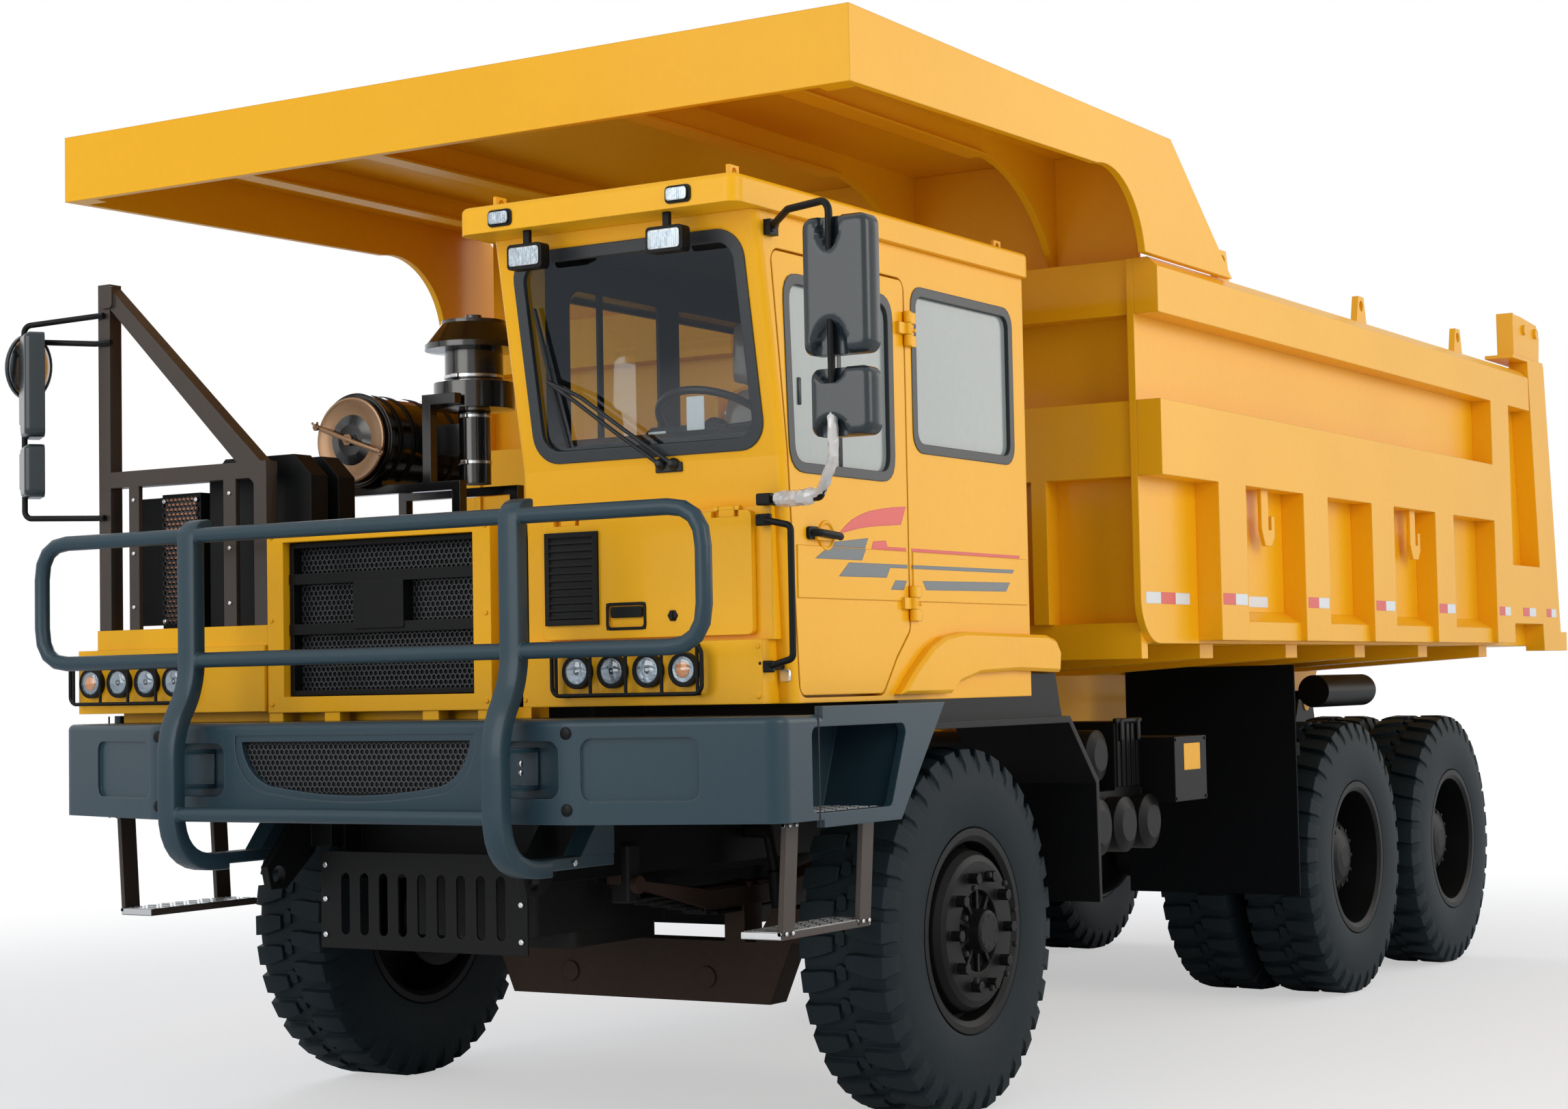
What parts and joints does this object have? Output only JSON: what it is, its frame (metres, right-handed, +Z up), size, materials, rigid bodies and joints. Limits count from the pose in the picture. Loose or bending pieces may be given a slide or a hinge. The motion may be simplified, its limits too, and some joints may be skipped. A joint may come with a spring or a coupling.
{
  "type": "mining dump truck",
  "caption": "Three-axle mining dump truck: tipping body with cab canopy, hung tailgate, steered front wheels, opening cab door and a telescopic hoist.",
  "frame": {"origin": "on the ground at the middle of the bounding box", "axes": "+X to the truck's left, +Y to its rear, +Z up"},
  "size_m": [3.926, 8.6781, 3.732],
  "materials": {
    "yellow_paint": "satin enamel",
    "slate_steel": "satin enamel",
    "black_steel": "semi-gloss black",
    "engine_iron": "painted casting",
    "bright_steel": "ground and plated",
    "dark_trim": "matte grained",
    "lamp_lens": "clear moulded",
    "black_rubber": "matte",
    "tyre_rubber": "matte",
    "cab_glazing": "clear tinted"
  },
  "bodies": {
    "chassis": {"frame_rails": "black_steel", "engine": "engine_iron", "radiator": "black_steel", "front_axle": "black_steel", "rear_axles": "black_steel", "bumper": "slate_steel", "bumper_grille": "black_steel", "bull_bar": "slate_steel", "ladders": "slate_steel", "guard": "black_steel", "cab_shell": "yellow_paint", "cab_roof": "yellow_paint", "cab_glass": "cab_glazing", "cab_interior": "dark_trim", "lamp_boxes": "yellow_paint", "head_lamps": "lamp_lens", "lamp_guards": "black_steel", "grille_frame": "yellow_paint", "grille_mesh": "black_steel", "mirror_frame": "black_steel", "mirror_arms": "black_steel", "mirrors": "dark_trim", "air_cleaner": "black_steel", "mudguards": "black_steel", "side_tanks": "black_steel", "mudflaps": "black_rubber", "wheel_flares": "yellow_paint", "grab_rail": "black_steel", "hoist_mount": "black_steel"},
    "knuckle_left": {"knuckle_left": "black_steel"},
    "front_wheel_left": {"front_tyre_left": "tyre_rubber", "front_rim_left": "black_steel"},
    "rear_wheel_1_left": {"rear_tyres_1_left": "tyre_rubber", "rear_rims_1_left": "black_steel"},
    "rear_wheel_2_left": {"rear_tyres_2_left": "tyre_rubber", "rear_rims_2_left": "black_steel"},
    "knuckle_right": {"knuckle_right": "black_steel"},
    "front_wheel_right": {"front_tyre_right": "tyre_rubber", "front_rim_right": "black_steel"},
    "rear_wheel_1_right": {"rear_tyres_1_right": "tyre_rubber", "rear_rims_1_right": "black_steel"},
    "rear_wheel_2_right": {"rear_tyres_2_right": "tyre_rubber", "rear_rims_2_right": "black_steel"},
    "dump_body": {"body_shell": "yellow_paint", "body_ribs": "yellow_paint", "canopy": "yellow_paint"},
    "tailgate": {"tailgate": "yellow_paint"},
    "cab_door": {"cab_door": "yellow_paint", "door_glass": "cab_glazing"},
    "service_hatch": {"service_hatch": "yellow_paint", "hatch_vent": "black_steel"},
    "tie_rod": {"tie_rod": "black_steel"},
    "hoist_barrel": {"hoist_barrel": "black_steel"},
    "hoist_stage_1": {"hoist_stage_1": "bright_steel"},
    "hoist_stage_2": {"hoist_stage_2": "bright_steel"},
    "hoist_stage_3": {"hoist_stage_3": "bright_steel"},
    "hoist_rod": {"hoist_rod": "bright_steel"}
  },
  "joints": [
    {"name": "steer_left", "type": "hinge", "parent": "chassis", "child": "knuckle_left", "pos_m": [0.9, -2.466, 0.665], "axis": [0, 0, 1], "range_deg": [-30, 30]},
    {"name": "front_wheel_spin_left", "type": "hinge", "parent": "knuckle_left", "child": "front_wheel_left", "pos_m": [1.258, -2.466, 0.665], "axis": [1, 0, 0], "continuous": true},
    {"name": "steer_right", "type": "hinge", "parent": "chassis", "child": "knuckle_right", "pos_m": [-0.9, -2.466, 0.665], "axis": [0, 0, 1], "range_deg": [-30, 30]},
    {"name": "front_wheel_spin_right", "type": "hinge", "parent": "knuckle_right", "child": "front_wheel_right", "pos_m": [-1.258, -2.466, 0.665], "axis": [1, 0, 0], "continuous": true},
    {"name": "rear_wheel_spin_1_left", "type": "hinge", "parent": "chassis", "child": "rear_wheel_1_left", "pos_m": [1.04, 1.614, 0.665], "axis": [1, 0, 0], "continuous": true},
    {"name": "rear_wheel_spin_2_left", "type": "hinge", "parent": "chassis", "child": "rear_wheel_2_left", "pos_m": [1.04, 3.124, 0.665], "axis": [1, 0, 0], "continuous": true},
    {"name": "rear_wheel_spin_1_right", "type": "hinge", "parent": "chassis", "child": "rear_wheel_1_right", "pos_m": [-1.04, 1.614, 0.665], "axis": [1, 0, 0], "continuous": true},
    {"name": "rear_wheel_spin_2_right", "type": "hinge", "parent": "chassis", "child": "rear_wheel_2_right", "pos_m": [-1.04, 3.124, 0.665], "axis": [1, 0, 0], "continuous": true},
    {"name": "tie_rod_turn", "type": "hinge", "parent": "knuckle_left", "child": "tie_rod", "pos_m": [0.9, -2.266, 0.534], "axis": [0, 0, 1], "range_deg": [-30, 30]},
    {"name": "tip_body", "type": "hinge", "parent": "chassis", "child": "dump_body", "pos_m": [0, 3.584, 1.4], "axis": [-1, 0, 0], "range_deg": [0, 45]},
    {"name": "swing_tailgate", "type": "hinge", "parent": "dump_body", "child": "tailgate", "pos_m": [0, 3.954, 3.46], "axis": [1, 0, 0], "range_deg": [0, 60]},
    {"name": "open_cab_door", "type": "hinge", "parent": "chassis", "child": "cab_door", "pos_m": [1.515, -3.007, 2.24], "axis": [0, 0, 1], "range_deg": [0, 70]},
    {"name": "open_service_hatch", "type": "hinge", "parent": "chassis", "child": "service_hatch", "pos_m": [0.985, -3.848, 2.136], "axis": [-1, 0, 0], "range_deg": [0, 40]},
    {"name": "hoist_swing", "type": "hinge", "parent": "chassis", "child": "hoist_barrel", "pos_m": [0, -1.846, 1.345], "axis": [-1, 0, 0], "range_deg": [0, 22.5]},
    {"name": "hoist_stage_1_slide", "type": "slide", "parent": "hoist_barrel", "child": "hoist_stage_1", "axis": [0, 0.1155, 0.9933], "range_m": [0, 1.00485]},
    {"name": "hoist_stage_2_slide", "type": "slide", "parent": "hoist_stage_1", "child": "hoist_stage_2", "axis": [0, 0.1155, 0.9933], "range_m": [0, 1.00485]},
    {"name": "hoist_stage_3_slide", "type": "slide", "parent": "hoist_stage_2", "child": "hoist_stage_3", "axis": [0, 0.1155, 0.9933], "range_m": [0, 1.00485]},
    {"name": "hoist_rod_slide", "type": "slide", "parent": "hoist_stage_3", "child": "hoist_rod", "axis": [0, 0.1155, 0.9933], "range_m": [0, 1.00485]}
  ],
  "couplings": [
    {"joint": "steer_right", "follows": "steer_left", "ratio": 1},
    {"joint": "tie_rod_turn", "follows": "steer_left", "ratio": -1},
    {"joint": "hoist_swing", "follows": "tip_body", "ratio": 0.5},
    {"joint": "hoist_stage_1_slide", "follows": "tip_body", "m_per_rad": 1.2794},
    {"joint": "hoist_stage_2_slide", "follows": "tip_body", "m_per_rad": 1.2794},
    {"joint": "hoist_stage_3_slide", "follows": "tip_body", "m_per_rad": 1.2794},
    {"joint": "hoist_rod_slide", "follows": "tip_body", "m_per_rad": 1.2794}
  ]
}
